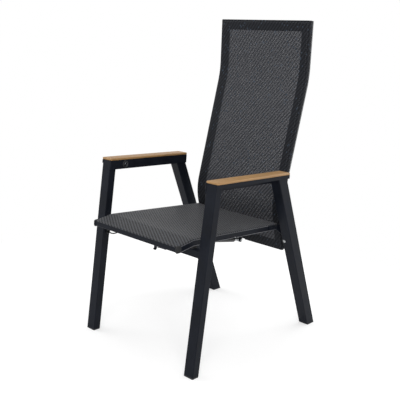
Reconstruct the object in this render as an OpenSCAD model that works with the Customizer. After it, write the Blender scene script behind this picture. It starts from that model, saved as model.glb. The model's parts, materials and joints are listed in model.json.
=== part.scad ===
// High-back reclining garden armchair: aluminium side frames, sling seat and back, teak arm pads.
// Origin: middle of the footprint, on the floor. The sitter faces -Y; left is the sitter's left, +X.

/* [Overall] */
// Width over the two side frames
frame_w = 540; // [500:5:620]
// Depth from the seat's front caps to the rear feet
depth = 790; // [750:5:830]
// Height of the arm pads' upper faces
arm_h = 649; // [620:1:680]

/* [Side frames] */
// Width of the leg tubes
leg_w = 40; // [32:1:50]
// Wall of every aluminium tube
tube_wall = 2; // [1.5:0.1:2.5]
// Rounding of the leg tubes' long edges
leg_round = 2.5; // [1.6:0.1:3]
// Front leg tube, front to back
front_leg_d = 30; // [25:1:36]
// How far the front feet stand behind the seat's front edge
front_setback = 43; // [30:1:60]
// Lean of the front legs
front_lean = 4.1; // [2:0.1:6]
// Rear leg tube, front to back
rear_leg_d = 45; // [40:1:52]
// Rake of the rear legs
rear_rake = 26.2; // [24:0.1:27]
// Height of the foot caps below the tubes
foot_h = 5; // [3:1:10]
// Chamfer on the lower front edge of the rear feet
foot_chamfer = 3; // [1:0.5:4]

/* [Arms] */
// Wall of the arm channel
channel_t = 3; // [2:0.5:4]
// Depth of the channel's outer lip
lip_h = 13; // [10:1:18]
// Depth of the channel's inner apron
apron_h = 33; // [31:1:40]
// Overhang of the channel behind the rear leg
arm_overhang = 17; // [8:1:30]
// Thickness of the teak pad
pad_t = 8; // [6:1:14]
// Overhang of the teak pad on each side of the channel
pad_over = 1; // [0:0.5:3]
// Rounding of the pad's corners and upper edges
pad_round = 3; // [1:0.5:4]
// Screws under each pad
pad_screw_count = 3; // [2:1:4]

/* [Front crossbar] */
// Side of the square crossbar
bar_side = 25; // [20:1:28]
// How far the crossbar's underside is below the seat's highest point
bar_drop = 56; // [53:1:60]

/* [Seat] */
// How much narrower than the back the seat frame is, on each side
seat_step = 5; // [3:0.5:9]
// Side of the square seat tubes
seat_tube = 20; // [16:1:22]
// Height of the seat frame's highest point, where the front bends down
seat_h = 452; // [448:1:462]
// Fall of the seat towards the back, in degrees
seat_fall = 1.85; // [1:0.05:2.5]
// Length of the part of the seat that bends down in front
seat_nose = 78; // [60:2:100]
// Angle of that part
seat_nose_fall = 10.3; // [5:0.1:14]
// Rounding of the bend
seat_bend_r = 60; // [40:5:100]
// Gap between the seat frame's rear end and the back's mesh
seat_back_gap = 12; // [8:1:16]
// Height of the seat's middle tube
mid_tube_h = 12; // [10:1:16]
// Width of the seat's middle tube
mid_tube_w = 25; // [20:1:35]

/* [Back] */
// Space between the back frame and the legs, on each side
side_space = 25; // [23:0.5:30]
// Height of the back frame
back_h = 1183; // [1100:1:1230]
// Width of a side rail, seen from the front
rail_w = 30; // [24:1:36]
// Depth of the back tubes
rail_d = 22; // [18:1:26]
// Lean of the long middle stretch
back_lean = 11.2; // [9:0.1:13]
// Lean of the head stretch, forwards
head_lean = 3.3; // [1:0.1:6]
// Lean of the tail under the seat, forwards from below
tail_lean = 18.4; // [16:0.1:20]
// How far the bend between tail and middle stretch is above the seat's highest point
low_bend_up = 49; // [46:1:56]
// Height where the middle and the head stretch meet
high_bend_z = 982; // [940:1:1010]
// How far the back reaches below the seat's highest point
tail_drop = 126; // [122:1:130]
// How far the low bend is in front of the rear feet
low_bend_in = 249.4; // [247:0.1:252]
// Rounding of the low bend
low_bend_r = 200; // [120:10:220]
// Rounding of the high bend
high_bend_r = 300; // [150:10:340]
// Height of the top bar
top_bar_h = 38; // [30:1:50]
// Height of the middle bar
mid_bar_h = 26; // [20:1:34]
// Depth of the middle bar
mid_bar_d = 14; // [10:1:16]
// How far the middle bar's centre is above the low bend
mid_bar_up = 54; // [46:1:110]
// Height of the bottom bar
bottom_bar_h = 40; // [34:1:44]

/* [Mesh] */
// Thickness of the woven mesh
sling_t = 1.2; // [0.8:0.1:1.5]
// Gap between the mesh and the tubes
sling_gap = 0.3; // [0.2:0.05:0.5]

/* [Recline pivot] */
// How far the recline axis is below the seat's highest point
pivot_drop = 50; // [47:1:53]
// Distance of the recline axis behind the rail's front face
pivot_inset = 9; // [8.5:0.1:10]
// Diameter of the pivot bolts
bolt_d = 8; // [6:0.5:8]
// Radial running clearance of bolts and rods
running_gap = 0.05; // [0.03:0.01:0.09]
// Gap between faces that turn against each other
side_gap = 0.3; // [0.2:0.05:0.5]
// Thickness of the hinge plates
plate_t = 4; // [3:0.5:5]
// Radius of the hinge plate's eye
eye_r = 13; // [11:0.5:14]
// Radius of the spacer discs
spacer_r = 11.5; // [10:0.5:13]
// Outer diameter of the nylon bush
bush_d = 11; // [10.5:0.5:13]
// Length of a bolt in the leg
bolt_grip = 12; // [8:1:20]

/* [Gas spring] */
// Diameter of the cylinder
cylinder_d = 22; // [18:1:24]
// Diameter of the piston rod
rod_d = 10; // [8:0.5:10]
// Length of the cylinder
cylinder_l = 291; // [280:1:300]
// Width of the release head
head_w = 24; // [22:1:26]
// Length of the release head behind its axis
head_l = 38; // [32:1:44]
// Radius of the rear eye
spring_eye_r = 9.5; // [9:0.25:10]
// Play of the rear eye on its pin, which lets the spring slide on one line
eye_play = 2.6; // [2.4:0.1:3]
// Diameter of the pin through the rear eye
eye_pin_d = 6; // [5:0.5:6]
// Distance of that pin in front of the back's tail
eye_pin_out = 10.6; // [10.3:0.1:11]
// Distance of the front axis behind the crossbar
fork_reach = 33; // [31:1:38]
// Distance of the front axis below the crossbar's centre
fork_drop = 16; // [14:1:18]

/* [Button and cable] */
// Diameter of the button's collar
collar_d = 27; // [22:1:28]
// Diameter of the push button
button_d = 17; // [12:1:19]
// Height of the button above the collar
button_proud = 4.5; // [4.2:0.1:6]
// Distance of the button behind the front of the arm
button_back = 70; // [55:1:90]
// Diameter of the release cable
cable_d = 4.5; // [4:0.1:5]

/* [Hidden] */
$fn = 48;
eps = 0.01;

coat = "#24272e";       // dark grey powder coat
plastic = "#1c1d20";
mesh_grey = "#4b4c4e";
teak = "#b08c64";
steel = "#b9bcc0";

// ---- Flat helpers: lines of [y, z] points, with rounded corners and a parallel offset to the left ----
function unit(v) = v / norm(v);
function left(v) = [-v[1], v[0]];
function turn(v, a) = [v[0] * cos(a) - v[1] * sin(a), v[0] * sin(a) + v[1] * cos(a)];
function cross2(a, b) = a[0] * b[1] - a[1] * b[0];
function reversed(list) = [for (i = [len(list) - 1:-1:0]) list[i]];
function bend_points(p, d0, d1, r, off) =
    let (s = sign(cross2(d0, d1)), a = acos(min(1, d0 * d1)), start = p - d0 * r * tan(a / 2),
         centre = start + left(d0) * s * r, steps = max(2, ceil(a / 6)))
    [for (k = [0:steps]) centre + turn(-left(d0) * s * (r - s * off), s * a * k / steps)];
function round_line(pts, radii, off) =
    let (n = len(pts), d = [for (i = [0:n - 2]) unit(pts[i + 1] - pts[i])])
    concat([pts[0] + left(d[0]) * off],
           [for (i = [1:n - 2]) each bend_points(pts[i], d[i - 1], d[i], radii[i - 1], off)],
           [pts[n - 1] + left(d[n - 2]) * off]);
function round_rect(w, h, r) =
    [for (q = [0:3], a = [0:15:90]) let (c = [q == 0 || q == 3 ? 1 : -1, q < 2 ? 1 : -1])
        [c[0] * (w / 2 - r), c[1] * (h / 2 - r)] + turn([r, 0], 90 * q + a)];

// Extrudes a flat [y, z] outline from x0 to x1
module along_x(x0, x1) { translate([x0, 0, 0]) rotate([90, 0, 90]) linear_extrude(x1 - x0) children(); }
// A round bar along X
module bar_x(x0, x1, r) { translate([x0, 0, 0]) rotate([0, 90, 0]) cylinder(r = r, h = x1 - x0); }
// Both sides: children are drawn on the left and mirrored to the right
module both_sides() { children(); mirror([1, 0, 0]) children(); }
module right_side() { mirror([1, 0, 0]) children(); }

// ---- Side frames ----
half_w = frame_w / 2;
leg_in = half_w - leg_w;
back_w = 2 * (leg_in - side_space);
seat_w = back_w - 2 * seat_step;
bar_z = seat_h - bar_drop;
pivot_z = seat_h - pivot_drop;
low_bend_z = seat_h + low_bend_up;
low_bend_y = depth / 2 - low_bend_in;
tail_end_z = seat_h - tail_drop;
mid_bar_z = low_bend_z + mid_bar_up;
channel_top = arm_h - pad_t;
leg_top = channel_top - channel_t;
front_foot_y = -depth / 2 + front_setback;
function front_leg_y(z) = front_foot_y + z * tan(front_lean);
function rear_leg_y(z) = depth / 2 - z * tan(rear_rake);     // rear face of the rear leg
front_leg_span = front_leg_d / cos(front_lean);
rear_leg_span = rear_leg_d / cos(rear_rake);
arm_rear_y = rear_leg_y(channel_top) + arm_overhang;

// A bar with the leg's section, drawn in by inset, from height z0 to z1
module front_leg_bar(z0, z1, inset, r) {
    intersection() {
        translate([half_w - leg_w / 2, front_foot_y, 0]) rotate([-front_lean, 0, 0])
            translate([0, front_leg_d / 2, -arm_h]) linear_extrude(3 * arm_h)
                polygon(round_rect(leg_w - 2 * inset, front_leg_d - 2 * inset, r));
        translate([0, -depth, z0]) cube([frame_w, 2 * depth, z1 - z0]);
    }
}
module rear_leg_bar(z0, z1, inset, r) {
    intersection() {
        translate([half_w - leg_w / 2, depth / 2, 0]) rotate([rear_rake, 0, 0])
            translate([0, -rear_leg_d / 2, -arm_h]) linear_extrude(3 * arm_h)
                polygon(round_rect(leg_w - 2 * inset, rear_leg_d - 2 * inset, r));
        translate([0, -depth, z0]) cube([frame_w, 2 * depth, z1 - z0]);
    }
}
inner_round = leg_round - 1.5;
module front_leg_tube() {
    difference() {
        front_leg_bar(foot_h, leg_top, 0, leg_round);
        front_leg_bar(foot_h - 1, leg_top + 1, tube_wall, inner_round);
    }
}
module front_leg_left() { color(coat) front_leg_tube(); }
// The right front leg has the cable's way in, at the top, and its grommet hole, under the seat
module front_leg_right() {
    color(coat) difference() {
        right_side() front_leg_tube();
        translate([-half_w + leg_w / 2, front_leg_y(cable_in_z) + front_leg_span + 2, cable_in_z])
            rotate([90, 0, 0]) cylinder(d = cable_d + 4, h = tube_wall + 4);
        translate([-leg_in - tube_wall - 2, cable_out_y, cable_out_z]) rotate([0, 90, 0])
            cylinder(r = grommet_r, h = tube_wall + 4);
    }
}

// Frame of reference on the rear face of a rear leg, at the height of the recline axis
module on_rear_leg() { translate([0, rear_leg_y(pivot_z), pivot_z]) rotate([rear_rake, 0, 0]) children(); }
module rear_leg_left() {
    color(coat) difference() {
        rear_leg_bar(foot_h, leg_top, 0, leg_round);
        rear_leg_bar(foot_h - 1, leg_top + 1, tube_wall, inner_round);
        at_pivot() bar_x(leg_in - 1, leg_in + tube_wall + 1, bolt_d / 2 + running_gap);
        leg_screw_bore(rear_leg_d + 1, tube_wall + 2);
    }
}
module rear_leg_right() { right_side() rear_leg_left(); }

// Blocks inside the rear legs that the pivot bolts are screwed into
anchor_w = 13;
anchor_h = 66;
anchor_fit = 0.4;
anchor_drop = 38;
module leg_anchors() {
    color(steel) both_sides() difference() {
        on_rear_leg() translate([leg_in + tube_wall + anchor_fit, -rear_leg_d + tube_wall + anchor_fit, -anchor_drop])
            cube([anchor_w, rear_leg_d - 2 * (tube_wall + anchor_fit), anchor_h]);
        at_pivot() bar_x(leg_in, leg_in + bolt_grip, bolt_d / 2 + running_gap);
        leg_screw_bore(rear_leg_d + 1, leg_screw_l);
    }
}
// Screws that hold the blocks, through the front faces of the rear legs
leg_screw_r = 2.5;
leg_screw_l = 22;
leg_screw_h = -6;
leg_screw_x = leg_in + tube_wall + 6;
module leg_screw_bore(y, l) {
    on_rear_leg() translate([leg_screw_x, -y, leg_screw_h]) rotate([-90, 0, 0])
        cylinder(r = leg_screw_r + running_gap, h = l);
}
module leg_screws() {
    color(steel) both_sides() on_rear_leg()
        translate([leg_screw_x, -rear_leg_d, leg_screw_h]) rotate([-90, 0, 0]) {
            cylinder(r = leg_screw_r, h = leg_screw_l - 2);
            translate([0, 0, -2.6]) cylinder(r1 = 4, r2 = 6, h = 1.6);
            translate([0, 0, -1]) cylinder(r = 6, h = 1);
        }
}

// Feet: a plug in the tube and a cap as wide as the tube
plug_fit = 0.2;
plug_h = 14;
module front_feet() {
    color(plastic) both_sides() {
        front_leg_bar(0, foot_h, 0, leg_round);
        front_leg_bar(foot_h - eps, foot_h + plug_h, tube_wall + plug_fit, inner_round);
    }
}
module rear_feet() {
    front_y = rear_leg_y(0) - rear_leg_span;
    color(plastic) both_sides() {
        difference() {
            rear_leg_bar(0, foot_h, 0, leg_round);
            along_x(0, frame_w) polygon([[front_y + foot_chamfer, 0], [front_y - foot_h, foot_h],
                                         [front_y - foot_h, -1], [front_y + foot_chamfer, -1]]);
        }
        rear_leg_bar(foot_h - eps, foot_h + plug_h, tube_wall + plug_fit, inner_round);
    }
}

// ---- Arms: a channel over the leg tops, with a short outer lip and a deep inner apron ----
function arm_side(z0) = [[front_leg_y(z0), z0], [arm_rear_y, z0],
                         [arm_rear_y, channel_top], [front_leg_y(channel_top), channel_top]];
// The channel's section, seen along the arm, with rounded outer bends
channel_bend = 2;
module channel_section() {
    middle = half_w - leg_w / 2;
    half = leg_w / 2 + channel_t;
    difference() {
        intersection() {
            union() {
                translate([middle - half, channel_top - apron_h]) square([half, apron_h]);
                translate([middle, channel_top - lip_h]) square([half, lip_h]);
            }
            translate([middle, channel_top - apron_h - channel_bend])
                polygon(round_rect(2 * half, 2 * (apron_h + channel_bend), channel_bend));
        }
        translate([leg_in, channel_top - channel_t - apron_h]) square([leg_w, apron_h]);
    }
}
module arm_channel() {
    difference() {
        intersection() {
            translate([0, depth / 2, 0]) rotate([90, 0, 0]) linear_extrude(depth) channel_section();
            along_x(leg_in - channel_t - 1, half_w + channel_t + 1) polygon(arm_side(channel_top - apron_h));
        }
        for (y = pad_screw_ys()) translate([half_w - leg_w / 2, y, leg_top - 1])
            cylinder(r = pad_screw_r + running_gap, h = channel_t + 2);
    }
}
module arm_channel_left() { color(coat) arm_channel(); }
module arm_channel_right() {
    color(coat) difference() {
        right_side() arm_channel();
        at_button() rotate([0, 90, 0]) translate([0, 0, -channel_t - 2])
            cylinder(r = housing_r + running_gap, h = channel_t + 4);
    }
}
pad_screw_r = 2;
pad_screw_l = 8;
function pad_screw_ys() =
    let (y0 = front_leg_y(leg_top) + front_leg_span + 25, y1 = arm_rear_y - 60 - rear_leg_span)
    [for (i = [0:pad_screw_count - 1]) y0 + (y1 - y0) * i / (pad_screw_count - 1)];
pad_w = leg_w + 2 * channel_t + 2 * pad_over;
pad_l = arm_rear_y - front_leg_y(channel_top);
module arm_pad_left() {
    color(teak) difference() {
        translate([half_w - leg_w / 2, arm_rear_y - pad_l / 2, channel_top]) intersection() {
            linear_extrude(pad_t) polygon(round_rect(pad_w, pad_l, pad_round));
            translate([0, pad_l / 2, 0]) rotate([90, 0, 0]) linear_extrude(pad_l) difference() {
                polygon(round_rect(pad_w, 2 * pad_t, pad_round));
                translate([-pad_w, -2 * pad_t]) square([2 * pad_w, 2 * pad_t]);
            }
        }
        for (y = pad_screw_ys()) translate([half_w - leg_w / 2, y, channel_top - 1])
            cylinder(r = pad_screw_r + running_gap, h = pad_screw_l - channel_t + 1.3);
    }
}
module arm_pad_right() { right_side() arm_pad_left(); }
module pad_screws() {
    color(steel) both_sides() for (y = pad_screw_ys())
        translate([half_w - leg_w / 2, y, leg_top]) {
            cylinder(r = pad_screw_r, h = pad_screw_l);
            translate([0, 0, -2]) cylinder(r1 = 3, r2 = 4.2, h = 2);
        }
}
end_plug_l = 9;
module arm_end_caps() {
    color(plastic) both_sides() {
        along_x(leg_in + plug_fit, half_w - plug_fit)
            translate([arm_rear_y - end_plug_l, channel_top - lip_h])
                square([end_plug_l, lip_h - channel_t - plug_fit]);
    }
}

// ---- Front crossbar, between the front legs ----
bar_y = front_leg_y(bar_z + bar_side / 2) + 2;
bar_top = bar_z + bar_side;
buffer_x = seat_w / 2 - seat_tube / 2;
buffer_y = bar_y + bar_side / 2;
module front_crossbar() {
    color(coat) difference() {
        translate([0, bar_y + bar_side / 2, bar_z + bar_side / 2]) tube_x(leg_in, bar_side, bar_side, 2);
        both_sides() translate([buffer_x, buffer_y, bar_z - 1])
            cylinder(r = seat_screw_r + running_gap, h = bar_side + 2);
        for (x = clip_xs) translate([x, bar_y + bar_side - tube_wall - 1, bar_z - 3 + clip_screw_up])
            rotate([-90, 0, 0]) cylinder(r = clip_screw_r + running_gap, h = tube_wall + 2);
    }
}

// ---- Seat: the frame's upper side as a line of [y, z] from rear to front ----
front_cap_r = seat_tube / 2 + 2.2;
front_tube_y = -depth / 2 + front_cap_r;
bend_y = front_tube_y - seat_tube / 2 + seat_nose;
seat_rear_y = tail_y(seat_h - 20) - seat_back_gap;
seat_rear_z = seat_h - (seat_rear_y - bend_y) * tan(seat_fall);
nose_z = seat_h - seat_nose * tan(seat_nose_fall);
tube_top = seat_h - (seat_nose - seat_tube / 2) * tan(seat_nose_fall);
rail_front_y = front_tube_y + seat_tube / 2;
rail_front_z = seat_h - (seat_nose - seat_tube) * tan(seat_nose_fall);
function seat_line(off) = round_line([[seat_rear_y, seat_rear_z], [bend_y, seat_h],
                                      [rail_front_y, rail_front_z]], [seat_bend_r], off);
function seat_under_z(y) = seat_h - (y - bend_y) * tan(seat_fall) - seat_tube / cos(seat_fall);
module seat_rail_left() {
    color(coat) difference() {
        along_x(seat_w / 2 - seat_tube, seat_w / 2)
            polygon(concat(seat_line(0), reversed(seat_line(seat_tube))));
        along_x(seat_w / 2 - seat_tube + tube_wall, seat_w / 2 - tube_wall)
            polygon(concat([[seat_rear_y + 1, seat_rear_z - tube_wall]], seat_line(tube_wall),
                           [[rail_front_y - 1, rail_front_z - tube_wall]],
                           [[rail_front_y - 1, rail_front_z - seat_tube + tube_wall]],
                           reversed(seat_line(seat_tube - tube_wall)),
                           [[seat_rear_y + 1, seat_rear_z - seat_tube + tube_wall]]));
        translate([buffer_x, buffer_y, bar_top]) cylinder(r = seat_screw_r + running_gap,
            h = seat_under_z(buffer_y) - bar_top + tube_wall + 2);
        plate_rivet_bores();
    }
}
module seat_rail_right() { right_side() seat_rail_left(); }
front_tube_half = seat_w / 2 - 3;
module tube_x(x, w, h, r) {
    difference() {
        along_x(-x, x) polygon(round_rect(w, h, r));
        along_x(-x - 1, x + 1) polygon(round_rect(w - 2 * tube_wall, h - 2 * tube_wall, r - 1.5));
    }
}
module seat_front_tube() {
    color(coat) translate([0, front_tube_y, tube_top - seat_tube / 2])
        tube_x(front_tube_half, seat_tube, seat_tube, 4);
}
inner_half = seat_w / 2 - seat_tube;
module seat_rear_tube() {
    color(coat) translate([0, seat_rear_y - seat_tube / 2, seat_rear_z - seat_tube / 2])
        tube_x(inner_half, seat_tube, seat_tube, 3);
}
mid_tube_y = -60;
module seat_mid_tube() {
    color(coat) translate([0, mid_tube_y, seat_under_z(mid_tube_y + mid_tube_w / 2) + mid_tube_h / 2])
        tube_x(inner_half, mid_tube_w, mid_tube_h, 3);
}
cap_t = 6;
module seat_end_caps() {
    color(plastic) both_sides() translate([0, front_tube_y, tube_top - seat_tube / 2]) {
        translate([0, (seat_tube / 2 - front_cap_r) / 2, 0]) {
            along_x(front_tube_half, front_tube_half + cap_t / 2)
                polygon(round_rect(front_cap_r + seat_tube / 2, 2 * front_cap_r, 6));
            along_x(front_tube_half + cap_t / 2 - eps, front_tube_half + cap_t)
                polygon(round_rect(front_cap_r + seat_tube / 2 - 3, 2 * front_cap_r - 3, 5));
        }
        along_x(front_tube_half - plug_h, front_tube_half + eps)
            polygon(round_rect(seat_tube - 2 * tube_wall - 0.4, seat_tube - 2 * tube_wall - 0.4, 2));
    }
}
seat_screw_r = 3;
module seat_buffers() {
    y0 = bar_y + 1.5;
    y1 = bar_y + bar_side - 1.5;
    color(plastic) both_sides() difference() {
        along_x(buffer_x - seat_tube / 2, buffer_x + seat_tube / 2)
            polygon([[y0, bar_top], [y1, bar_top], [y1, seat_h], [y0, seat_h]]);
        along_x(0, half_w) polygon(concat(seat_line(seat_tube),
            [[rail_front_y - 10, seat_h + 30], [seat_rear_y, seat_h + 30]]));
        translate([buffer_x, buffer_y, bar_top - 1])
            cylinder(r = seat_screw_r + running_gap, h = seat_h - bar_top);
    }
}
module seat_screws() {
    color(steel) both_sides() translate([buffer_x, buffer_y, 0]) {
        translate([0, 0, bar_z]) cylinder(r = seat_screw_r, h = seat_under_z(buffer_y) - bar_z + tube_wall + 3);
        translate([0, 0, bar_z - 3]) cylinder(r1 = 4, r2 = 6, h = 3);
    }
}

// Hinge plates: straps that step outwards from the seat rails to the recline pivots
bush_flange = 3.3;
pivot_y = tail_y(pivot_z) + pivot_inset / cos(tail_lean);
plate_in = back_w / 2 + bush_flange + side_gap;
plate_front_y = seat_rear_y - 56;
plate_room = 120;
module hinge_plate_left() {
    sx = seat_w / 2;
    color(coat) difference() {
        intersection() {
            union() {
                along_x(sx - 1, plate_in + plate_t + 1) polygon([
                    [plate_front_y, seat_under_z(plate_front_y) + 2],
                    [plate_front_y, seat_under_z(plate_front_y) + seat_tube - 2],
                    [seat_rear_y + 2, seat_rear_z - 2],
                    [pivot_y + eye_r * sin(45), pivot_z + eye_r * cos(45)],
                    [pivot_y - eye_r * sin(45), pivot_z - eye_r * cos(45)],
                    [seat_rear_y - 8, seat_under_z(seat_rear_y) + 1]]);
                at_pivot() bar_x(sx - 1, plate_in + plate_t + 1, eye_r);
            }
            translate([0, 0, pivot_z - plate_room / 2]) linear_extrude(plate_room) polygon([
                [sx, plate_front_y], [sx, seat_rear_y - 2], [plate_in, seat_rear_y + 14],
                [plate_in, pivot_y + eye_r + 1], [plate_in + plate_t, pivot_y + eye_r + 1],
                [plate_in + plate_t, seat_rear_y + 12], [sx + plate_t, seat_rear_y - 4],
                [sx + plate_t, plate_front_y]]);
        }
        at_pivot() bar_x(plate_in - 1, plate_in + plate_t + 1, bolt_d / 2 + running_gap);
        plate_rivet_bores();
    }
}
module hinge_plate_right() { right_side() hinge_plate_left(); }
rivet_r = 2.4;
rivet_edge = 12;
rivet_pitch = 24;
function rivet_ys() = [plate_front_y + rivet_edge, plate_front_y + rivet_edge + rivet_pitch];
function rivet_z(y) = seat_under_z(y) + seat_tube / 2;
module plate_rivet_bores() {
    for (y = rivet_ys()) translate([0, y, rivet_z(y)])
        bar_x(seat_w / 2 - tube_wall - 1, seat_w / 2 + plate_t + 1, rivet_r + running_gap);
}
module plate_rivets() {
    color(steel) both_sides() for (y = rivet_ys()) translate([0, y, rivet_z(y)]) {
        bar_x(seat_w / 2 - tube_wall - 1.5, seat_w / 2 + plate_t + eps, rivet_r);
        translate([seat_w / 2 + plate_t, 0, 0]) rotate([0, 90, 0]) cylinder(r1 = 4.5, r2 = 2.5, h = 1.8);
    }
}

// The seat's mesh: a sleeve over the frame, open below, closed over the front and rear tubes
fold_r = 0.6;
sling_room = 100;
function sling_line(off) = round_line([[seat_rear_y, seat_rear_z - seat_tube], [seat_rear_y, seat_rear_z],
    [bend_y, seat_h], [front_tube_y - seat_tube / 2, nose_z + 1],
    [front_tube_y - seat_tube / 2, tube_top - seat_tube]], [fold_r, seat_bend_r, fold_r], off);
module seat_sling_solid(off, x, low) {
    along_x(-x, x) polygon(concat(sling_line(-off), [[rail_front_y, tube_top - seat_tube - low]],
                                  reversed(seat_line(seat_tube + low)),
                                  [[seat_rear_y - seat_tube, seat_rear_z - seat_tube - low]]));
}
module seat_sling() {
    color(mesh_grey) difference() {
        seat_sling_solid(sling_gap + sling_t, seat_w / 2 + sling_gap + sling_t, 0);
        seat_sling_solid(sling_gap, seat_w / 2 + sling_gap, 6);
        // side walls stop before the front caps and the hinge plates
        both_sides() {
            translate([front_tube_half - 0.5, rail_front_y - sling_room + 0.5, nose_z - sling_room / 2])
                cube([sling_room, sling_room, sling_room]);
            translate([seat_w / 2 - 0.2, plate_front_y - 3, seat_h - sling_room / 2])
                cube([sling_room, sling_room, sling_room]);
        }
    }
}

// ---- Back: the rails' front face as a line of [y, z] from top to bottom ----
high_bend_y = low_bend_y + (high_bend_z - low_bend_z) * tan(back_lean);
back_top_y = high_bend_y - (back_h - high_bend_z) * tan(head_lean);
function tail_y(z) = low_bend_y + (low_bend_z - z) * tan(tail_lean);
tail_end = [tail_y(tail_end_z), tail_end_z];
back_top = [back_top_y, back_h];
back_bends = [[high_bend_y, high_bend_z], [low_bend_y, low_bend_z]];
tail_dir = [sin(tail_lean), -cos(tail_lean)];
head_dir = unit([high_bend_y, high_bend_z] - back_top);
function back_line(off) = round_line(concat([back_top], back_bends, [tail_end]),
                                     [high_bend_r, low_bend_r], off);
module back_rail_left() {
    color(coat) difference() {
        along_x(back_w / 2 - rail_w, back_w / 2) polygon(concat(back_line(0), reversed(back_line(rail_d))));
        along_x(back_w / 2 - rail_w + tube_wall, back_w / 2 - tube_wall)
            polygon(concat([back_top - head_dir * 2 + left(head_dir) * tube_wall], back_line(tube_wall),
                           [tail_end + tail_dir * 2 + left(tail_dir) * tube_wall],
                           [tail_end + tail_dir * 2 + left(tail_dir) * (rail_d - tube_wall)],
                           reversed(back_line(rail_d - tube_wall)),
                           [back_top - head_dir * 2 + left(head_dir) * (rail_d - tube_wall)]));
        at_pivot() bar_x(back_w / 2 - rail_w - 1, back_w / 2 + 1, bush_d / 2 + running_gap);
    }
}
module back_rail_right() { right_side() back_rail_left(); }
rail_in = back_w / 2 - rail_w;
// Local frames on the rails' front face: Z up along the rail, Y to the rear
module on_head() { translate([0, back_top[0], back_top[1]]) rotate([head_lean, 0, 0]) children(); }
module on_middle(z) {
    translate([0, low_bend_y + (z - low_bend_z) * tan(back_lean), z]) rotate([-back_lean, 0, 0]) children();
}
module on_tail() { translate([0, tail_end[0], tail_end[1]]) rotate([tail_lean, 0, 0]) children(); }
module back_bar(h, d) {
    translate([0, d / 2, h / 2]) tube_x(rail_in, d, h, 3);
}
module back_top_bar() { color(coat) on_head() translate([0, 0, -top_bar_h]) back_bar(top_bar_h, rail_d); }
module back_bottom_bar() {
    color(coat) difference() {
        on_tail() back_bar(bottom_bar_h, rail_d);
        bracket_bolt_bores();
    }
}
mid_bar_set = 3;
module back_mid_bar() {
    color(coat) on_middle(mid_bar_z) translate([0, mid_bar_set, -mid_bar_h / 2]) back_bar(mid_bar_h, mid_bar_d);
}

// The back's mesh: a sleeve over the frame, open behind, closed over the top and bottom bars
function back_sling_line(off) =
    round_line(concat([back_top + left(head_dir) * rail_d, back_top], back_bends,
                      [tail_end, tail_end + left(tail_dir) * rail_d]), [fold_r, high_bend_r, low_bend_r, fold_r], off);
module back_sling_solid(off, x, behind) {
    along_x(-x, x) polygon(concat(back_sling_line(-off), reversed(back_line(rail_d + behind))));
}
bracket_half = 21;
module back_sling() {
    color(mesh_grey) difference() {
        back_sling_solid(sling_gap + sling_t, back_w / 2 + sling_gap + sling_t, 0);
        back_sling_solid(sling_gap, back_w / 2 + sling_gap, 6);
        // openings round the pivots and the gas spring's bracket
        both_sides() at_pivot() bar_x(back_w / 2 - 0.1, back_w / 2 + 10, eye_r + 1);
        on_tail() translate([-bracket_half - 2, -8, -8])
            cube([2 * bracket_half + 4, rail_d + 20, bottom_bar_h + 6]);
    }
}

// ---- Recline pivots ----
module at_pivot() { translate([0, pivot_y, pivot_z]) children(); }
module pivot_bush_left() {
    color(plastic) at_pivot() difference() {
        union() {
            bar_x(rail_in + 0.5, back_w / 2, bush_d / 2);
            bar_x(back_w / 2, back_w / 2 + bush_flange, bush_d / 2 + 4);
        }
        bar_x(rail_in - 1, back_w / 2 + bush_flange + 1, bolt_d / 2 + running_gap);
    }
}
module pivot_bush_right() { right_side() pivot_bush_left(); }
module pivot_spacer_left() {
    color(plastic) at_pivot() difference() {
        bar_x(plate_in + plate_t, leg_in, spacer_r);
        bar_x(plate_in, leg_in + 1, bolt_d / 2 + running_gap);
    }
}
module pivot_spacer_right() { right_side() pivot_spacer_left(); }
bolt_head_t = 4.5;
module pivot_bolt_left() {
    color(steel) at_pivot() {
        bar_x(rail_in - side_gap - eps, leg_in + bolt_grip - 0.5, bolt_d / 2);
        translate([rail_in - side_gap - bolt_head_t, 0, 0]) rotate([0, 90, 0]) {
            cylinder(r1 = 4, r2 = 6.5, h = 1.5);
            translate([0, 0, 1.5]) cylinder(r = 6.5, h = bolt_head_t - 1.5);
        }
    }
}
module pivot_bolt_right() { right_side() pivot_bolt_left(); }

// ---- Gas spring: local frame with Y along the spring, from the front axis to the rear eye ----
fork_y = bar_y + bar_side + fork_reach;
fork_z = bar_z + bar_side / 2 - fork_drop;
eye_drop = 0.7;
eye = tail_end + tail_dir * eye_drop - left(tail_dir) * eye_pin_out;
spring_l = norm(eye - [fork_y, fork_z]);
spring_angle = atan2(eye[1] - fork_z, eye[0] - fork_y);
module on_spring() { translate([0, fork_y, fork_z]) rotate([spring_angle, 0, 0]) children(); }
module bar_y(y0, y1, r) { translate([0, y0, 0]) rotate([-90, 0, 0]) cylinder(r = r, h = y1 - y0); }
cyl_end = spring_l - 37;
cyl_start = cyl_end - cylinder_l;
cyl_bore_r = cylinder_d / 2 - 1.5;
piston_reach = 130;
piston_at = cyl_start + piston_reach;
head_round = 3;
neck_r = 8;
neck_l = 5;
lug_reach = 22;
module head_block(y0, y1) {
    translate([0, y1, 0]) rotate([90, 0, 0]) linear_extrude(y1 - y0)
        polygon(round_rect(head_w, head_w, head_round));
}
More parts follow.
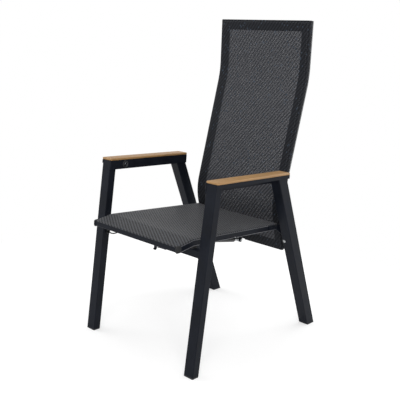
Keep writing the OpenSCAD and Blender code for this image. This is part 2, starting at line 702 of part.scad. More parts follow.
module release_head() {
    color(steel) on_spring() difference() {
        union() {
            head_block(-10, head_l);
            bar_y(head_l - eps, head_l + neck_l, neck_r);
            // two lugs that carry the lever
            intersection() {
                head_block(-lug_reach, -10 + eps);
                for (s = [-1, 1]) translate([s * (head_w / 2 - 2) - 2, -lug_reach - 1, 2])
                    cube([4, lug_reach, head_w]);
            }
        }
        bar_x(-head_w / 2 - 1, -head_w / 2 + trunnion_in + 0.5, trunnion_r + running_gap);
        bar_x(head_w / 2 - trunnion_in - 0.5, head_w / 2 + 1, trunnion_r + running_gap);
        bar_y(head_l - 12, head_l + neck_l + 1, rod_d / 2 + running_gap);
        bar_y(-11, head_l - 11, release_pin_r + running_gap);
        translate([0, lever_y, lever_z]) bar_x(-head_w, head_w, lever_pin_r + running_gap);
    }
}
module spring_rod() {
    color("#d5d7da") on_spring() {
        bar_y(head_l - 11.5, piston_at, rod_d / 2);
        bar_y(piston_at - eps, piston_at + 10, cyl_bore_r - running_gap);
    }
}
// Half section of the cylinder: rolled ends, and a crimp round the rod's guide
roll_r = 2.5;
crimp_at = 8;
crimp_deep = 0.8;
function cylinder_profile() = concat([[0, 0]],
    [for (a = [-90:15:0]) [cylinder_d / 2 - roll_r, roll_r] + roll_r * [cos(a), sin(a)]],
    [for (a = [180:30:360]) [cylinder_d / 2, crimp_at] + crimp_deep * [a > 180 && a < 360 ? -sin(a - 180) : 0,
                                                                      -cos(a - 180)]],
    [for (a = [0:15:90]) [cylinder_d / 2 - roll_r, cylinder_l - roll_r] + roll_r * [cos(a), sin(a)]],
    [[0, cylinder_l]]);
module spring_cylinder() {
    color(plastic) on_spring() difference() {
        translate([0, cyl_start, 0]) rotate([-90, 0, 0]) rotate_extrude() polygon(cylinder_profile());
        bar_y(cyl_start - 1, cyl_start + 13, rod_d / 2 + running_gap);
        bar_y(cyl_start + 12, cyl_end - 6, cyl_bore_r);
        bar_y(cyl_end - 4, cyl_end + 1, eye_stem_r + running_gap);
    }
}
eye_stem_r = 4;
spring_eye_w = 12;
module spring_eye() {
    color(steel) on_spring() difference() {
        union() {
            bar_y(cyl_end - 3.5, spring_l - 5, eye_stem_r);
            bar_y(cyl_end, cyl_end + 12, 7);
            translate([0, spring_l, 0]) bar_x(-spring_eye_w / 2, spring_eye_w / 2, spring_eye_r);
        }
        translate([0, spring_l, 0]) bar_x(-10, 10, eye_pin_d / 2 + eye_play);
    }
}

// Fork on the crossbar, with the stop for the release cable between its lower ends
ear_t = 4;
ear_in = head_w / 2 + 1;
ear_r = 12;
stop_y = fork_y + 12;
stop_z = fork_z - 26;
trunnion_r = 4;
trunnion_in = 5;
module front_bracket() {
    back = bar_y + bar_side;
    color(coat) difference() {
        union() {
            translate([-ear_in - 12, back, bar_z - 10]) cube([2 * ear_in + 24, 4, bar_side + 6]);
            for (s = [-1, 1]) translate([s * (ear_in + ear_t / 2), 0, 0]) {
                along_x(-ear_t / 2, ear_t / 2) polygon([
                    [back, bar_z - 10], [back, bar_top - 4], [fork_y, fork_z + ear_r],
                    [fork_y + ear_r, fork_z], [stop_y + 4, stop_z - 7], [stop_y, stop_z - 7]]);
                translate([0, fork_y, fork_z]) bar_x(-ear_t / 2, ear_t / 2, ear_r);
            }
            translate([-ear_in - eps, stop_y, stop_z - 7]) cube([2 * ear_in + 2 * eps, 4, 12]);
        }
        translate([0, fork_y, fork_z]) {
            bar_x(-ear_in - ear_t - 1, -ear_in + 1, trunnion_r + running_gap);
            bar_x(ear_in - 1, ear_in + ear_t + 1, trunnion_r + running_gap);
        }
        translate([0, stop_y - 1, stop_z]) rotate([-90, 0, 0]) cylinder(r = 1.2, h = 6);
    }
}
module front_pivots() {
    color(steel) both_sides() translate([0, fork_y, fork_z]) {
        bar_x(head_w / 2 - trunnion_in, ear_in + ear_t, trunnion_r);
        bar_x(ear_in + ear_t, ear_in + ear_t + 4, 6.5);
    }
}

// Bracket on the back's bottom bar
lug_in = spring_eye_w / 2 + 1;
lug_t = 4;
plate_z0 = 11;
bracket_bolt_z = (bottom_bar_h + plate_z0 - 4) / 2;
module back_bracket() {
    color(coat) difference() {
        on_tail() {
            translate([-bracket_half, -3, plate_z0]) cube([2 * bracket_half, 3, bottom_bar_h - plate_z0 - 4]);
            for (s = [-1, 1]) translate([s * (lug_in + lug_t / 2), 0, 0]) {
                along_x(-lug_t / 2, lug_t / 2) polygon([[-3 + eps, plate_z0], [-3 + eps, plate_z0 + 15],
                    [-eye_pin_out - 8, 4 - eye_drop], [-eye_pin_out, -eye_drop], [-3 + eps, 4]]);
                translate([0, -eye_pin_out, -eye_drop]) bar_x(-lug_t / 2, lug_t / 2, 9);
            }
        }
        at_eye() bar_x(-20, 20, eye_pin_d / 2 + running_gap);
        bracket_bolt_bores();
    }
}
module at_eye() { translate([0, eye[0], eye[1]]) children(); }
module bracket_bolt_bores() {
    on_tail() for (s = [-1, 1]) translate([s * (bracket_half - 5), -4, bracket_bolt_z])
        rotate([-90, 0, 0]) cylinder(r = 2.5 + running_gap, h = 7);
}
module back_bracket_pin() {
    color(steel) {
        at_eye() {
            bar_x(-lug_in - lug_t - 0.2, lug_in + lug_t + 0.2, eye_pin_d / 2);
            bar_x(lug_in + lug_t + 0.2 - eps, lug_in + lug_t + 3.2, 5);
            bar_x(-lug_in - lug_t - 3.2, -lug_in - lug_t - 0.2 + eps, 5);
        }
        on_tail() for (s = [-1, 1]) translate([s * (bracket_half - 5), -3, bracket_bolt_z])
            rotate([-90, 0, 0]) {
                translate([0, 0, -2.5]) cylinder(r = 4, h = 2.5);
                translate([0, 0, -eps]) cylinder(r = 2.5, h = 5.5);
            }
    }
}

// Release lever, hung from two lugs of the head: its toe pushes the valve pin in the rod
lever_y = -18;
lever_z = 9;
lever_t = 4;
lever_pin_r = 2;
lever_head = 7.5;
foot_r = 5;
release_pin_r = 2.5;
lever_foot = (stop_z - fork_z) / cos(spring_angle) - lever_y * tan(spring_angle);
module release_lever() {
    color(steel) on_spring() difference() {
        union() {
            translate([0, lever_y, lever_z]) bar_x(-lever_head, lever_head, 4);
            translate([0, lever_y + lever_t / 2, 0]) rotate([90, 0, 0]) linear_extrude(lever_t) {
                polygon([[-lever_head, lever_z], [-foot_r, lever_foot], [foot_r, lever_foot],
                         [lever_head, lever_z]]);
                translate([0, lever_foot]) circle(r = foot_r);
            }
        }
        translate([0, lever_y, lever_z]) bar_x(-9, 9, lever_pin_r + running_gap);
        translate([0, lever_y - 5, lever_foot]) rotate([-90, 0, 0]) cylinder(r = 1.9, h = 10);
    }
}
// End of the cable's wire, resting against the lever. It sits a little low, so that it stays
// round the wire while the lever turns
nipple_drop = 0.35;
nipple_l = 5;
module wire_nipple() {
    color(steel) on_spring() translate([0, 0, lever_foot - nipple_drop]) difference() {
        bar_y(lever_y - lever_t / 2 - nipple_l, lever_y - lever_t / 2, 3);
        bar_y(lever_y - lever_t / 2 - nipple_l - 1, lever_y, 1.7);
    }
}
module lever_pin() {
    color(steel) on_spring() translate([0, lever_y, lever_z]) bar_x(-head_w / 2 - 1, head_w / 2 + 1, lever_pin_r);
}
module release_pin() {
    color(steel) on_spring() bar_y(lever_y + lever_t / 2 + 0.3, head_l - 14, release_pin_r);
}

// ---- Release button in the right arm's apron ----
housing_r = 10.5;
collar_t = 3;
collar_round = 1.5;
button_edge = 1.2;
dish_deep = 1.2;
dish_r = 18;
button_travel = 4;
button_y = front_leg_y(channel_top) + button_back;
button_z = channel_top - collar_d / 2 - 2.5;
housing_l = 26;
module at_button() { translate([-leg_in + channel_t, button_y, button_z]) children(); }
module button_housing() {
    color(plastic) at_button() difference() {
        union() {
            rotate([0, 90, 0]) rotate_extrude() polygon(concat([[0, 0], [collar_d / 2, 0]],
                [for (a = [0:15:90]) [collar_d / 2, collar_t] + collar_round * [cos(a) - 1, sin(a) - 1]],
                [[0, collar_t]]));
            bar_x(-housing_l, eps, housing_r);
        }
        bar_x(-15, collar_t + 1, button_d / 2 + running_gap);
        bar_x(-housing_l + 3, -14, 7);
    }
}
module push_button() {
    color(steel) at_button() difference() {
        union() {
            bar_x(collar_t - 10, collar_t + button_proud - button_edge, button_d / 2);
            translate([collar_t + button_proud - button_edge - eps, 0, 0]) rotate([0, 90, 0])
                cylinder(r1 = button_d / 2, r2 = button_d / 2 - button_edge, h = button_edge);
        }
        // dished for the fingertip
        translate([collar_t + button_proud - dish_deep + dish_r, 0, 0]) sphere(r = dish_r);
    }
}

// ---- Release cable: from the button, down inside the right front leg and under the seat ----
cable_in_z = 612;
cable_out_z = bar_z - 19;
cable_out_y = front_leg_y(cable_out_z) + front_leg_span - 8;
grommet_r = 6.5;
leg_mid_x = half_w - leg_w / 2;
// Hand-set points, from the housing to the stop on the fork, each tied to the piece beside it
function in_leg(z, off) = [-leg_mid_x, front_leg_y(z) + front_leg_span / 2 + off, z];
function by_exit(x, y, z) = [-leg_in + x, cable_out_y + y, cable_out_z + z];
function by_bar(x, y, z) = [x, bar_y + bar_side + clip_axis + y, bar_z - 3 + z];
function by_stop(x, y, z) = [x, stop_y + y, stop_z + z];
clip_axis = 4;
cable_points = [
    [-leg_mid_x, button_y - housing_r - 0.3, button_z], [-leg_mid_x, button_y - housing_r - 13, button_z - 2.5],
    in_leg(cable_in_z + 4, 23), in_leg(cable_in_z, 12), in_leg(cable_in_z - 8, 4),
    in_leg(cable_in_z - 20, -1), in_leg(cable_in_z - 50, -1), in_leg(cable_in_z - 90, 0),
    in_leg(cable_in_z - 130, 0), in_leg(cable_in_z - 170, 0), in_leg(cable_in_z - 200, 0),
    in_leg(cable_out_z + 18, 0), by_exit(-18, -4, 9.5), by_exit(-13, -2, 4), by_exit(-6, -0.5, 1),
    by_exit(3, 0, -0.5), by_exit(16, 1.5, -2.5), by_exit(28, 3.5, -1.5), by_exit(40, 6.5, 4),
    by_exit(51, 9.5, 11), by_bar(-166, 0, -1), by_bar(-150, 0, 0), by_bar(-136, 0, 0), by_bar(-120, 0, 0),
    by_bar(-106, 1.5, 0), by_bar(-88, 8, -1), by_stop(-68, -20, 22), by_stop(-51, 3, 16.5),
    by_stop(-36, 22, 10.5), by_stop(-20, 32, 5), by_stop(-6, 32, 1.5), by_stop(0, 21, 0), by_stop(0, 7, 0)];
function smooth(p) = concat([p[0]], [for (i = [0:len(p) - 2])
    let (a = p[max(0, i - 1)], b = p[i], c = p[i + 1], d = p[min(len(p) - 1, i + 2)])
    each [(9 * (b + c) - a - d) / 16, c]]);
function tangent(p, i) = unit(p[min(len(p) - 1, i + 1)] - p[max(0, i - 1)]);
function square_to(t, v) = unit(v - t * (t * v));
module tube_sweep(p, r, sides) {
    n = len(p);
    t = [for (i = [0:n - 1]) tangent(p, i)];
    u = [for (i = 0, v = square_to(t[0], [0.3, 0.2, 1]); i < n;
              i = i + 1, v = i < n ? square_to(t[i], v) : v) v];
    points = [for (i = [0:n - 1], k = [0:sides - 1])
        p[i] + r * (cos(360 * k / sides) * u[i] + sin(360 * k / sides) * cross(t[i], u[i]))];
    walls = [for (i = [0:n - 2], k = [0:sides - 1])
        let (a = i * sides + k, b = i * sides + (k + 1) % sides)
        each [[a, b, b + sides], [a, b + sides, a + sides]]];
    starts = [for (k = [1:sides - 2]) [0, k + 1, k]];
    ends = [for (k = [1:sides - 2]) [(n - 1) * sides, (n - 1) * sides + k, (n - 1) * sides + k + 1]];
    polyhedron(points, [for (f = concat(walls, starts, ends)) reversed(f)]);
}
module release_cable() {
    color(plastic) union() {
        tube_sweep(smooth(cable_points), cable_d / 2, 8);
        translate([0, stop_y + 4, stop_z]) rotate([-90, 0, 0]) cylinder(r = 3.2, h = 12);
        translate([0, fork_y - 30, stop_z]) rotate([-90, 0, 0]) cylinder(r = 0.8, h = 46);
    }
}
// Clips that hold the cable to the crossbar
clip_xs = [-150, -120];
clip_w = 8;
clip_r = clip_axis - 0.3;
clip_screw_r = 1.6;
clip_screw_up = 11;
module cable_clips() {
    color(plastic) for (x = clip_xs) translate([0, bar_y + bar_side, bar_z - 3]) difference() {
        union() {
            translate([x - clip_w / 2, 0, 3.2]) cube([clip_w, 1.6, clip_screw_up + 1]);
            translate([x - clip_w / 2, clip_axis - clip_r, 0]) cube([clip_w, 2.4, 4]);
            translate([0, clip_axis, 0]) bar_x(x - clip_w / 2, x + clip_w / 2, clip_r);
        }
        translate([0, clip_axis, 0]) bar_x(x - clip_w, x + clip_w, cable_d / 2 + 0.35);
        translate([x, -1, clip_screw_up]) rotate([-90, 0, 0]) cylinder(r = clip_screw_r + running_gap, h = 4);
    }
}
module clip_screws() {
    color(steel) for (x = clip_xs) translate([x, bar_y + bar_side, bar_z - 3 + clip_screw_up])
        rotate([-90, 0, 0]) {
            translate([0, 0, -tube_wall - 1.5]) cylinder(r = clip_screw_r, h = tube_wall + 3.2);
            translate([0, 0, 1.6]) cylinder(r1 = 3, r2 = 2, h = 1.4);
        }
}
module cable_grommet() {
    color(plastic) translate([-leg_in, cable_out_y, cable_out_z]) difference() {
        union() {
            bar_x(-tube_wall - 1, eps, grommet_r - 0.05);
            bar_x(0, 2, grommet_r + 2);
        }
        bar_x(-tube_wall - 2, 3, cable_d / 2 + 2.3);
    }
}

front_leg_left();
front_leg_right();
rear_leg_left();
rear_leg_right();
arm_channel_left();
arm_channel_right();
arm_pad_left();
arm_pad_right();
pad_screws();
arm_end_caps();
front_feet();
rear_feet();
front_crossbar();
leg_anchors();
leg_screws();
seat_rail_left();
seat_rail_right();
seat_front_tube();
seat_rear_tube();
seat_mid_tube();
seat_end_caps();
seat_buffers();
seat_screws();
hinge_plate_left();
hinge_plate_right();
plate_rivets();
seat_sling();
back_rail_left();
back_rail_right();
back_top_bar();
back_mid_bar();
back_bottom_bar();
back_sling();
pivot_bush_left();
pivot_bush_right();
pivot_spacer_left();
pivot_spacer_right();
pivot_bolt_left();
pivot_bolt_right();
back_bracket();
back_bracket_pin();
front_bracket();
front_pivots();
release_head();
spring_rod();
spring_cylinder();
spring_eye();
release_lever();
lever_pin();
release_pin();
wire_nipple();
button_housing();
push_button();
release_cable();
cable_grommet();
cable_clips();
clip_screws();
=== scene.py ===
import json
import math
import bpy
from mathutils import Matrix, Vector


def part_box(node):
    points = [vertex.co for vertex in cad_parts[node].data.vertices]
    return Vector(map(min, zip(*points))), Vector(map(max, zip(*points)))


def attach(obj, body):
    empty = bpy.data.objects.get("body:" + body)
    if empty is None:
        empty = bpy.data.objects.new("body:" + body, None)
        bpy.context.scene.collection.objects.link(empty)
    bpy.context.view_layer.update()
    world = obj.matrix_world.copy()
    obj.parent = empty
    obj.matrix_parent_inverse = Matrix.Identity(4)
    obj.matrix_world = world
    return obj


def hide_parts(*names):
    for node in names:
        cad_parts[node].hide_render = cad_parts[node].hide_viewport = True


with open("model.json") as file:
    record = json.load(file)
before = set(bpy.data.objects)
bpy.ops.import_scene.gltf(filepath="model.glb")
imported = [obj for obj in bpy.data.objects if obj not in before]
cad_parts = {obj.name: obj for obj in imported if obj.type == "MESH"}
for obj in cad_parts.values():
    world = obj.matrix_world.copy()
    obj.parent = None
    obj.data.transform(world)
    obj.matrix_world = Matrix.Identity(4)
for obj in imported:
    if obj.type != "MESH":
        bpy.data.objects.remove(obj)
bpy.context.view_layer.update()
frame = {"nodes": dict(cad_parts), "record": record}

nodes = frame["nodes"]

# ---- Camera --------------------------------------------------------------------------------------
# The photographer stood to the left in front of the chair, a little above the arms,
# and held the camera with a slight roll. Worked out from the corners of feet, arms and back.
camera = bpy.data.objects.new("camera", bpy.data.cameras.new("camera"))
bpy.context.scene.collection.objects.link(camera)
camera.data.sensor_width = 36
camera.data.lens = 57.09
camera.data.clip_end = 50
camera_place = (1.4863, -1.8006, 1.0061)
azimuth, elevation, roll = (math.radians(a) for a in (40.581, 12.147, 4.222))
back_of_camera = Vector((math.sin(azimuth) * math.cos(elevation),
                         -math.cos(azimuth) * math.cos(elevation), math.sin(elevation)))
level_right = (-back_of_camera).cross(Vector((0, 0, 1))).normalized()
level_up = level_right.cross(-back_of_camera)
camera_right = math.cos(roll) * level_right + math.sin(roll) * level_up
camera_up = -math.sin(roll) * level_right + math.cos(roll) * level_up
camera.matrix_world = Matrix.Translation(camera_place) @ Matrix(
    (camera_right, camera_up, back_of_camera)).transposed().to_4x4()
bpy.context.scene.camera = camera

# ---- Studio: white floor, white surroundings, soft lamps -----------------------------------------
# A matt white paper floor that keeps the chair's soft shadow. The surroundings show white to
# the camera and in reflections, and light the chair at a plain level.


def linear(code):
    """A colour written as sRGB hex, as linear RGBA."""
    parts = [int(code[i:i + 2], 16) / 255 for i in (1, 3, 5)]
    return [c / 12.92 if c <= 0.04045 else ((c + 0.055) / 1.055) ** 2.4 for c in parts] + [1]


def add(material, kind, settings={}, inputs={}):
    """Adds a node. settings are its own options; inputs are numbers or the outputs they are linked to."""
    new = material.node_tree.nodes.new(kind)
    for key, value in settings.items():
        setattr(new, key, value)
    for key, value in inputs.items():
        if isinstance(value, bpy.types.NodeSocket):
            material.node_tree.links.new(value, new.inputs[key])
        else:
            new.inputs[key].default_value = value
    return new


def fresh_material(name):
    material = bpy.data.materials.new(name)
    material.use_nodes = True
    material.node_tree.nodes.clear()
    return material


def finish_material(material, shader):
    add(material, "ShaderNodeOutputMaterial", {}, {"Surface": shader.outputs[0]})
    return material


bpy.context.scene.view_settings.view_transform = "Standard"
world = bpy.data.worlds.new("white surroundings")
bpy.context.scene.world = world
world.use_nodes = True
world.node_tree.nodes.clear()
seen = add(world, "ShaderNodeLightPath")
seen_through = add(world, "ShaderNodeMath", {"operation": "MAXIMUM"}, {
    0: seen.outputs["Is Camera Ray"], 1: seen.outputs["Is Transmission Ray"]})
seen_or_mirrored = add(world, "ShaderNodeMath", {"operation": "MAXIMUM"}, {
    0: seen_through.outputs[0], 1: seen.outputs["Is Glossy Ray"]})
level = add(world, "ShaderNodeMapRange", {}, {
    "Value": seen_or_mirrored.outputs[0], "To Min": 0.62, "To Max": 1.0})
sky = add(world, "ShaderNodeBackground", {}, {"Color": [1, 1, 1, 1], "Strength": level.outputs[0]})
add(world, "ShaderNodeOutputWorld", {}, {"Surface": sky.outputs[0]})

bpy.ops.object.select_all(action="DESELECT")
bpy.ops.mesh.primitive_plane_add(size=12, location=(0, 0, 0))
floor = bpy.context.object
floor.name = "paper_floor"
paper = fresh_material("matt white paper, rolled out")
paper_place = add(paper, "ShaderNodeTexCoord").outputs["Object"]
paper_grain = add(paper, "ShaderNodeTexNoise", {}, {"Vector": paper_place, "Scale": 3.0, "Detail": 2.0})
paper_tone = add(paper, "ShaderNodeMix", {"data_type": "RGBA"}, {
    0: paper_grain.outputs[0], 6: linear("#fdfdfd"), 7: linear("#ffffff")})
paper_skin = add(paper, "ShaderNodeBsdfDiffuse", {}, {"Color": paper_tone.outputs[2]})
# Far from the chair the paper runs out into plain white, so that no edge of the floor shows.
paper_far = add(paper, "ShaderNodeVectorMath", {"operation": "LENGTH"}, {0: paper_place}).outputs["Value"]
paper_white = add(paper, "ShaderNodeMapRange", {}, {
    "Value": paper_far, "From Min": 0.4, "From Max": 1.3, "To Min": 0.48, "To Max": 1.0})
paper_shadow = add(paper, "ShaderNodeMapRange", {}, {
    "Value": paper_far, "From Min": 0.7, "From Max": 1.4, "To Min": 0.62, "To Max": 0.0})
paper_glow = add(paper, "ShaderNodeEmission", {}, {
    "Color": linear("#ffffff"), "Strength": paper_white.outputs[0]})
paper_catch = add(paper, "ShaderNodeBsdfDiffuse", {}, {
    "Color": add(paper, "ShaderNodeMix", {"data_type": "RGBA"}, {
        0: paper_shadow.outputs[0], 6: linear("#000000"), 7: linear("#ffffff")}).outputs[2]})
paper_seen = add(paper, "ShaderNodeAddShader", {}, {0: paper_glow.outputs[0], 1: paper_catch.outputs[0]})
paper_path = add(paper, "ShaderNodeLightPath")
finish_material(paper, add(paper, "ShaderNodeMixShader", {}, {
    0: paper_path.outputs["Is Camera Ray"], 1: paper_skin.outputs[0], 2: paper_seen.outputs[0]}))
floor.data.materials.append(paper)

lamps = (("window_side", (2.2, -2.6, 2.6), 2.2, 62), ("far_side", (-3.0, -1.2, 2.4), 2.4, 38),
         ("from_behind", (0.4, 3.0, 2.6), 2.4, 34))
for name, place, size, watts in lamps:
    lamp = bpy.data.objects.new(name, bpy.data.lights.new(name, "AREA"))
    lamp.data.size, lamp.data.energy = size, watts
    lamp.location = place
    lamp.rotation_euler = (Vector((0, 0, 0.5)) - Vector(place)).to_track_quat("-Z", "Y").to_euler()
    bpy.context.scene.collection.objects.link(lamp)

# ---- Powder-coated frame -------------------------------------------------------------------------
# Aluminium tubes and channels, with steel straps and brackets, all sprayed with polyester powder
# and baked: an even dark blue-grey satin skin with a faint orange peel of about half a millimetre.


def of_slot(slot):
    """The CAD nodes that the record gives this material slot."""
    return [piece["node"] for piece in frame["record"]["subparts"] if piece["material_slot"] == slot]


def give(material, *names):
    """A CAD piece keeps its mesh and gets this material in every slot."""
    for name in names:
        if not nodes[name].material_slots:
            nodes[name].data.materials.append(material)
        for one in nodes[name].material_slots:
            one.material = material


def coated(name, dark, light, roughness, peel_mm, depth, shine=0.5):
    """Paint with a fine pattern of its own: tone, gloss and height from noise of peel_mm."""
    material = fresh_material(name)
    place = add(material, "ShaderNodeTexCoord").outputs["Object"]
    peel = add(material, "ShaderNodeTexNoise", {}, {
        "Vector": place, "Scale": 1000 / peel_mm / 2, "Detail": 3.0, "Roughness": 0.6})
    clouds = add(material, "ShaderNodeTexNoise", {}, {"Vector": place, "Scale": 14.0, "Detail": 4.0})
    both = add(material, "ShaderNodeMath", {"operation": "MULTIPLY"}, {
        0: peel.outputs[0], 1: clouds.outputs[0]})
    blend = add(material, "ShaderNodeMapRange", {}, {
        "Value": both.outputs[0], "From Min": 0.12, "From Max": 0.38})
    tone = add(material, "ShaderNodeMix", {"data_type": "RGBA"}, {
        0: blend.outputs[0], 6: linear(dark), 7: linear(light)})
    gloss = add(material, "ShaderNodeMapRange", {}, {
        "Value": clouds.outputs[0], "From Min": 0.3, "From Max": 0.7,
        "To Min": roughness - 0.05, "To Max": roughness + 0.06})
    skin = add(material, "ShaderNodeBump", {}, {
        "Strength": 0.35, "Distance": depth, "Height": peel.outputs[0]})
    return finish_material(material, add(material, "ShaderNodeBsdfPrincipled", {}, {
        "Base Color": tone.outputs[2], "Roughness": gloss.outputs[0], "IOR": 1.5,
        "Specular IOR Level": shine, "Normal": skin.outputs[0]}))


coat = coated("polyester powder coat on aluminium, sprayed and baked", "#0d1017", "#161a23",
              0.46, 0.6, 0.00008, 0.12)
give(coat, "plate_rivets", *of_slot("coat"))

# ---- Nylon plugs and caps ------------------------------------------------------------------------
# Feet, end caps, bushes, spacer discs, cable clips and the button's housing are moulded from black
# nylon with a spark-eroded grain, which takes most of the shine off. It is drawn at twice its size.
nylon = coated("nylon, moulded in a grained tool", "#141518", "#1d1e21", 0.55, 0.8, 0.00006)
give(nylon, *of_slot("plastic"))

# ---- Rubber buffers ------------------------------------------------------------------------------
# The blocks between the seat and the crossbar are moulded rubber, matt, slightly dusty.
rubber = coated("rubber, compression moulded", "#0f0f10", "#1a1a1b", 0.75, 0.9, 0.00008)
give(rubber, "seat_buffers")

# ---- Release cable -------------------------------------------------------------------------------
# A steel wire in a black PVC cover, extruded, with a soft even gloss.
cable_cover = coated("PVC cable cover, extruded", "#0d0d0e", "#151516", 0.4, 1.6, 0.00003)
give(cable_cover, "release_cable")

# ---- Gas spring ----------------------------------------------------------------------------------
# A drawn steel tube painted semi-gloss black, and a ground and chromed piston rod. The rod's
# grinding leaves fine rings round it.
tube_paint = coated("black stove enamel on drawn steel tube", "#101113", "#16171a", 0.26, 1.2, 0.00003)
give(tube_paint, "spring_cylinder")


def metal(name, colour, roughness, across, ring_mm, depth):
    """Bare metal with fine tool marks: streaks of ring_mm, much longer along the other axes."""
    material = fresh_material(name)
    place = add(material, "ShaderNodeMapping", {}, {
        "Vector": add(material, "ShaderNodeTexCoord").outputs["Object"], "Scale": across})
    marks = add(material, "ShaderNodeTexNoise", {}, {
        "Vector": place.outputs[0], "Scale": 1000 / ring_mm / 2, "Detail": 2.0})
    gloss = add(material, "ShaderNodeMapRange", {}, {
        "Value": marks.outputs[0], "From Min": 0.3, "From Max": 0.7,
        "To Min": roughness * 0.75, "To Max": roughness * 1.3})
    lines = add(material, "ShaderNodeBump", {}, {
        "Strength": 0.3, "Distance": depth, "Height": marks.outputs[0]})
    return finish_material(material, add(material, "ShaderNodeBsdfPrincipled", {}, {
        "Base Color": linear(colour), "Metallic": 1.0, "Roughness": gloss.outputs[0],
        "Normal": lines.outputs[0]}))


give(metal("hard chrome on steel, ground and polished", "#cfd1d3", 0.12, (0.1, 1, 0.1), 0.5, 0.00001),
     "spring_rod")

# ---- Push button ---------------------------------------------------------------------------------
# Turned steel with a dished end, plated with black nickel: a dark mirror that picks up small
# white glints, with fine turning marks.
give(metal("black nickel on steel, turned and plated", "#4a4c50", 0.16, (0.3, 1, 1), 0.4, 0.00001),
     "push_button")

# ---- Screws, bolts and the spring's fittings -----------------------------------------------------
# Turned, pressed or bent from steel and zinc plated: a pale grey metal with a soft brushed gloss.
give(metal("zinc-plated steel, turned and pressed", "#b4b6b8", 0.32, (1, 1, 0.2), 0.6, 0.00002),
     "pad_screws", "leg_anchors", "leg_screws", "seat_screws", "back_bracket_pin", "spring_eye",
     "release_head", "release_pin", "clip_screws")

# ---- Release lever and pivots --------------------------------------------------------------------
# Bent and turned from steel, zinc plated and passivated black: a dark grey metal, dull and
# slightly patchy. The pivot bolts are finished the same way.
give(metal("zinc on steel, passivated black", "#34343a", 0.42, (1, 1, 0.4), 0.8, 0.00002),
     "release_lever", "lever_pin", "wire_nipple", "front_pivots", "pivot_bolt_left", "pivot_bolt_right")

# ---- Teak arm pads -------------------------------------------------------------------------------
# A solid teak slat on each arm, planed, with its edges rounded over and oiled. The grain
# runs along the arm: growth lines 2 to 5 mm apart and short dark pores.
teak = fresh_material("teak, planed and oiled")
along = add(teak, "ShaderNodeMapping", {}, {
    "Vector": add(teak, "ShaderNodeTexCoord").outputs["Object"], "Scale": (1.0, 0.045, 1.0)})
broad = add(teak, "ShaderNodeTexNoise", {}, {"Vector": along.outputs[0], "Scale": 60.0, "Detail": 3.0})
growth = add(teak, "ShaderNodeTexNoise", {}, {
    "Vector": along.outputs[0], "Scale": 210.0, "Detail": 4.0, "Roughness": 0.62, "Distortion": 0.6})
pores = add(teak, "ShaderNodeTexNoise", {}, {"Vector": along.outputs[0], "Scale": 1100.0, "Detail": 1.0})
growth_tone = add(teak, "ShaderNodeMix", {"data_type": "RGBA"}, {
    0: growth.outputs[0], 6: linear("#7c5933"), 7: linear("#caa16a")})
broad_tone = add(teak, "ShaderNodeMix", {"data_type": "RGBA", "blend_type": "MULTIPLY"}, {
    0: 0.5, 6: growth_tone.outputs[2],
    7: add(teak, "ShaderNodeMix", {"data_type": "RGBA"}, {
        0: broad.outputs[0], 6: linear("#c8b9a6"), 7: linear("#ffffff")}).outputs[2]})
pore_mask = add(teak, "ShaderNodeMapRange", {}, {
    "Value": pores.outputs[0], "From Min": 0.60, "From Max": 0.72, "To Min": 0.0, "To Max": 0.55})
teak_tone = add(teak, "ShaderNodeMix", {"data_type": "RGBA"}, {
    0: pore_mask.outputs[0], 6: broad_tone.outputs[2], 7: linear("#6f5133")})
teak_skin = add(teak, "ShaderNodeBump", {}, {
    "Strength": 0.4, "Distance": 0.00015, "Height": growth.outputs[0]})
finish_material(teak, add(teak, "ShaderNodeBsdfPrincipled", {}, {
    "Base Color": teak_tone.outputs[2], "Roughness": 0.5, "IOR": 1.5, "Normal": teak_skin.outputs[0]}))


def new_piece(name, material, body):
    """The object just modelled gets its name, place, material and body."""
    piece = bpy.context.object
    piece.name = name
    bpy.ops.object.transform_apply(location=True, rotation=True, scale=True)
    piece.data.materials.clear()
    piece.data.materials.append(material)
    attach(piece, body)
    return piece


slat_edge = 0.0028
for side in ("left", "right"):
    low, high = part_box(f"arm_pad_{side}")
    bpy.ops.object.select_all(action="DESELECT")
    bpy.ops.mesh.primitive_cube_add(size=1, location=(Vector(low) + Vector(high)) / 2,
                                    scale=Vector(high) - Vector(low))
    bpy.ops.object.transform_apply(location=False, rotation=False, scale=True)
    bpy.ops.object.mode_set(mode="EDIT")
    bpy.ops.mesh.select_all(action="SELECT")
    bpy.ops.mesh.bevel(offset=slat_edge, segments=5, profile=0.5, affect="EDGES")
    bpy.ops.object.mode_set(mode="OBJECT")
    bpy.ops.object.shade_smooth_by_angle(angle=math.radians(35))
    pad = new_piece(f"teak_pad_{side}", teak, "root")
    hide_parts(f"arm_pad_{side}")

# ---- Woven mesh ----------------------------------------------------------------------------------
# Polyester yarn coated in PVC, woven as a twill and heat-fused: matt diagonal ribs with small holes that
# let light through. Real yarns lie about 1.2 mm apart; they are drawn 3 to 5 mm apart, so that they show.


